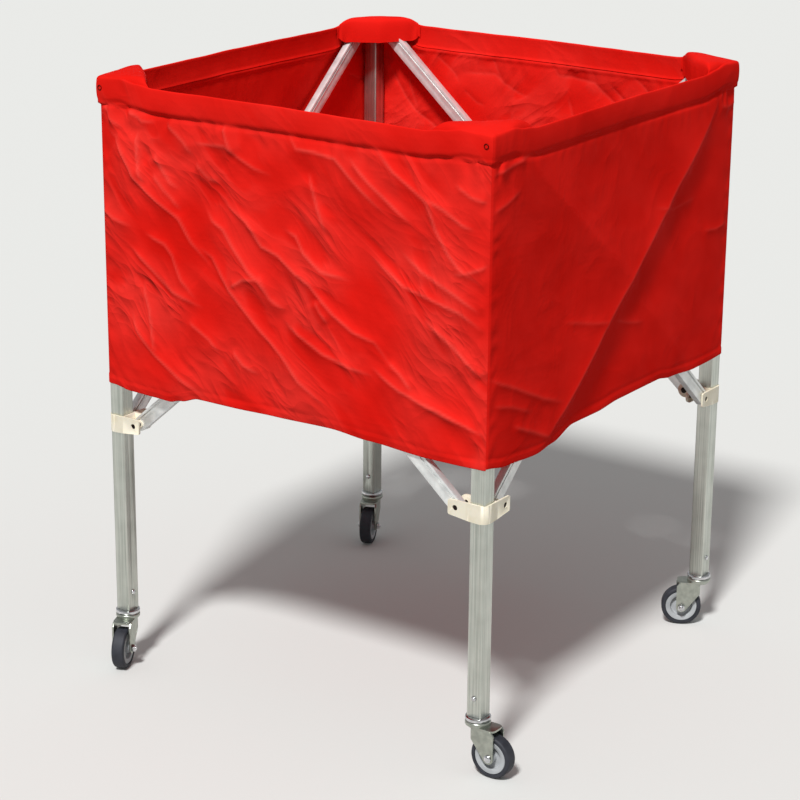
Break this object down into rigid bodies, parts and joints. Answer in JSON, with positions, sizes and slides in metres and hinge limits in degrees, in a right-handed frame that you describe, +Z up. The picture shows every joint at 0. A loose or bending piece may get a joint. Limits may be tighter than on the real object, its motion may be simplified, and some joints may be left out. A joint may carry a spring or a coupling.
{
  "type": "ball cart",
  "caption": "Folding ball cart: square scissor frame on swivel casters with an open cloth bag that holds sports balls.",
  "frame": {"origin": "on the floor, under the centre of the part's bounding box, which the trailing casters set 20.5 mm right of and 20 mm in front of the frame's own centre", "axes": "+Z up, +X to the right along the front side, +Y from the front side to the back side; the front left leg is at -X, -Y"},
  "size_m": [0.7433, 0.7412, 0.937],
  "materials": {
    "tube": "mill finish square tube, lightly streaked",
    "bar": "extruded, satin",
    "bracket": "moulded ivory nylon",
    "rivet": "zinc plated",
    "race": "bright plated pressing",
    "fork": "zinc plated pressing",
    "axle": "zinc plated bolt and nut",
    "wheel_centre": "moulded grey",
    "tyre": "moulded black rubber",
    "cloth": "coated woven cloth, soft sheen"
  },
  "bodies": {
    "leg_front_left": {"post_front_left": "tube", "top_bracket_front_left": "bracket", "stem_rivet_front_left": "rivet", "caster_stem_front_left": "race", "bag_shell": "cloth", "bag_floor": "cloth"},
    "leg_front_right": {"post_front_right": "tube", "top_bracket_front_right": "bracket", "stem_rivet_front_right": "rivet", "caster_stem_front_right": "race"},
    "leg_back_right": {"post_back_right": "tube", "top_bracket_back_right": "bracket", "stem_rivet_back_right": "rivet", "caster_stem_back_right": "race"},
    "leg_back_left": {"post_back_left": "tube", "top_bracket_back_left": "bracket", "stem_rivet_back_left": "rivet", "caster_stem_back_left": "race"},
    "outer_bar_front": {"outer_bar_front": "bar", "centre_rivet_front": "rivet"},
    "inner_bar_front": {"inner_bar_front": "bar"},
    "outer_bar_right": {"outer_bar_right": "bar", "centre_rivet_right": "rivet"},
    "inner_bar_right": {"inner_bar_right": "bar"},
    "outer_bar_back": {"outer_bar_back": "bar", "centre_rivet_back": "rivet"},
    "inner_bar_back": {"inner_bar_back": "bar"},
    "outer_bar_left": {"outer_bar_left": "bar", "centre_rivet_left": "rivet"},
    "inner_bar_left": {"inner_bar_left": "bar"},
    "slider_front_left": {"slider_front_left": "bracket", "slider_rivet_front_left_x": "rivet", "slider_rivet_front_left_y": "rivet"},
    "slider_front_right": {"slider_front_right": "bracket", "slider_rivet_front_right_x": "rivet", "slider_rivet_front_right_y": "rivet"},
    "slider_back_right": {"slider_back_right": "bracket", "slider_rivet_back_right_x": "rivet", "slider_rivet_back_right_y": "rivet"},
    "slider_back_left": {"slider_back_left": "bracket", "slider_rivet_back_left_x": "rivet", "slider_rivet_back_left_y": "rivet"},
    "fork_front_left": {"fork_front_left": "fork", "axle_front_left": "axle"},
    "wheel_front_left": {"wheel_front_left": "wheel_centre", "tyre_front_left": "tyre"},
    "fork_front_right": {"fork_front_right": "fork", "axle_front_right": "axle"},
    "wheel_front_right": {"wheel_front_right": "wheel_centre", "tyre_front_right": "tyre"},
    "fork_back_right": {"fork_back_right": "fork", "axle_back_right": "axle"},
    "wheel_back_right": {"wheel_back_right": "wheel_centre", "tyre_back_right": "tyre"},
    "fork_back_left": {"fork_back_left": "fork", "axle_back_left": "axle"},
    "wheel_back_left": {"wheel_back_left": "wheel_centre", "tyre_back_left": "tyre"}
  },
  "joints": [
    {"name": "fold", "type": "hinge", "parent": "leg_front_left", "child": "outer_bar_front", "pos_m": [-0.3175, -0.3125, 0.92], "axis": [0, 1, 0], "range_deg": [0, 41], "deforming": ["bag_shell", "bag_floor"]},
    {"name": "front_cross", "type": "hinge", "parent": "outer_bar_front", "child": "inner_bar_front", "pos_m": [-0.0205, -0.3125, 0.662], "axis": [0, 1, 0], "range_deg": [-82, 0]},
    {"name": "front_right_top", "type": "hinge", "parent": "inner_bar_front", "child": "leg_front_right", "pos_m": [0.2765, -0.3125, 0.92], "axis": [0, 1, 0], "range_deg": [0, 41]},
    {"name": "front_left_slider_pivot", "type": "hinge", "parent": "inner_bar_front", "child": "slider_front_left", "pos_m": [-0.3175, -0.3125, 0.404], "axis": [0, 1, 0], "range_deg": [0, 41]},
    {"name": "front_right_slider_pivot", "type": "hinge", "parent": "outer_bar_front", "child": "slider_front_right", "pos_m": [0.2765, -0.3125, 0.404], "axis": [0, 1, 0], "range_deg": [-41, 0]},
    {"name": "right_front_top", "type": "hinge", "parent": "leg_front_right", "child": "outer_bar_right", "pos_m": [0.312, -0.277, 0.92], "axis": [-1, 0, 0], "range_deg": [0, 41]},
    {"name": "right_cross", "type": "hinge", "parent": "outer_bar_right", "child": "inner_bar_right", "pos_m": [0.312, 0.02, 0.662], "axis": [-1, 0, 0], "range_deg": [-82, 0]},
    {"name": "back_right_top", "type": "hinge", "parent": "inner_bar_right", "child": "leg_back_right", "pos_m": [0.312, 0.317, 0.92], "axis": [-1, 0, 0], "range_deg": [0, 41]},
    {"name": "back_right_slider_pivot", "type": "hinge", "parent": "outer_bar_right", "child": "slider_back_right", "pos_m": [0.312, 0.317, 0.404], "axis": [-1, 0, 0], "range_deg": [-41, 0]},
    {"name": "left_front_top", "type": "hinge", "parent": "leg_front_left", "child": "inner_bar_left", "pos_m": [-0.353, -0.277, 0.92], "axis": [-1, 0, 0], "range_deg": [0, 41]},
    {"name": "left_cross", "type": "hinge", "parent": "inner_bar_left", "child": "outer_bar_left", "pos_m": [-0.353, 0.02, 0.662], "axis": [-1, 0, 0], "range_deg": [-82, 0]},
    {"name": "back_left_top", "type": "hinge", "parent": "outer_bar_left", "child": "leg_back_left", "pos_m": [-0.353, 0.317, 0.92], "axis": [-1, 0, 0], "range_deg": [0, 41]},
    {"name": "back_left_slider_pivot", "type": "hinge", "parent": "inner_bar_left", "child": "slider_back_left", "pos_m": [-0.353, 0.317, 0.404], "axis": [-1, 0, 0], "range_deg": [-41, 0]},
    {"name": "back_top", "type": "hinge", "parent": "leg_back_left", "child": "inner_bar_back", "pos_m": [-0.3175, 0.3525, 0.92], "axis": [0, 1, 0], "range_deg": [0, 41]},
    {"name": "back_cross", "type": "hinge", "parent": "inner_bar_back", "child": "outer_bar_back", "pos_m": [-0.0205, 0.3525, 0.662], "axis": [0, 1, 0], "range_deg": [-82, 0]},
    {"name": "swivel_front_left", "type": "hinge", "parent": "leg_front_left", "child": "fork_front_left", "pos_m": [-0.353, -0.3125, 0.0832], "axis": [0, 0, 1], "continuous": true},
    {"name": "wheel_spin_front_left", "type": "hinge", "parent": "fork_front_left", "child": "wheel_front_left", "pos_m": [-0.34267, -0.33744, 0.0325], "axis": [0.9239, 0.3827, 0], "continuous": true},
    {"name": "swivel_front_right", "type": "hinge", "parent": "leg_front_right", "child": "fork_front_right", "pos_m": [0.312, -0.3125, 0.0832], "axis": [0, 0, 1], "continuous": true},
    {"name": "wheel_spin_front_right", "type": "hinge", "parent": "fork_front_right", "child": "wheel_front_right", "pos_m": [0.339, -0.3125, 0.0325], "axis": [0, 1, 0], "continuous": true},
    {"name": "swivel_back_right", "type": "hinge", "parent": "leg_back_right", "child": "fork_back_right", "pos_m": [0.312, 0.3525, 0.0832], "axis": [0, 0, 1], "continuous": true},
    {"name": "wheel_spin_back_right", "type": "hinge", "parent": "fork_back_right", "child": "wheel_back_right", "pos_m": [0.28862, 0.339, 0.0325], "axis": [0.5, -0.866, 0], "continuous": true},
    {"name": "swivel_back_left", "type": "hinge", "parent": "leg_back_left", "child": "fork_back_left", "pos_m": [-0.353, 0.3525, 0.0832], "axis": [0, 0, 1], "continuous": true},
    {"name": "wheel_spin_back_left", "type": "hinge", "parent": "fork_back_left", "child": "wheel_back_left", "pos_m": [-0.34267, 0.32755, 0.0325], "axis": [0.9239, 0.3827, 0], "continuous": true}
  ],
  "couplings": [
    {"joint": "front_cross", "follows": "fold", "ratio": -2},
    {"joint": "front_right_top", "follows": "fold", "ratio": 1},
    {"joint": "front_left_slider_pivot", "follows": "fold", "ratio": 1},
    {"joint": "front_right_slider_pivot", "follows": "fold", "ratio": -1},
    {"joint": "right_front_top", "follows": "fold", "ratio": 1},
    {"joint": "right_cross", "follows": "fold", "ratio": -2},
    {"joint": "back_right_top", "follows": "fold", "ratio": 1},
    {"joint": "back_right_slider_pivot", "follows": "fold", "ratio": -1},
    {"joint": "left_front_top", "follows": "fold", "ratio": 1},
    {"joint": "left_cross", "follows": "fold", "ratio": -2},
    {"joint": "back_left_top", "follows": "fold", "ratio": 1},
    {"joint": "back_left_slider_pivot", "follows": "fold", "ratio": -1},
    {"joint": "back_top", "follows": "fold", "ratio": 1},
    {"joint": "back_cross", "follows": "fold", "ratio": -2}
  ]
}
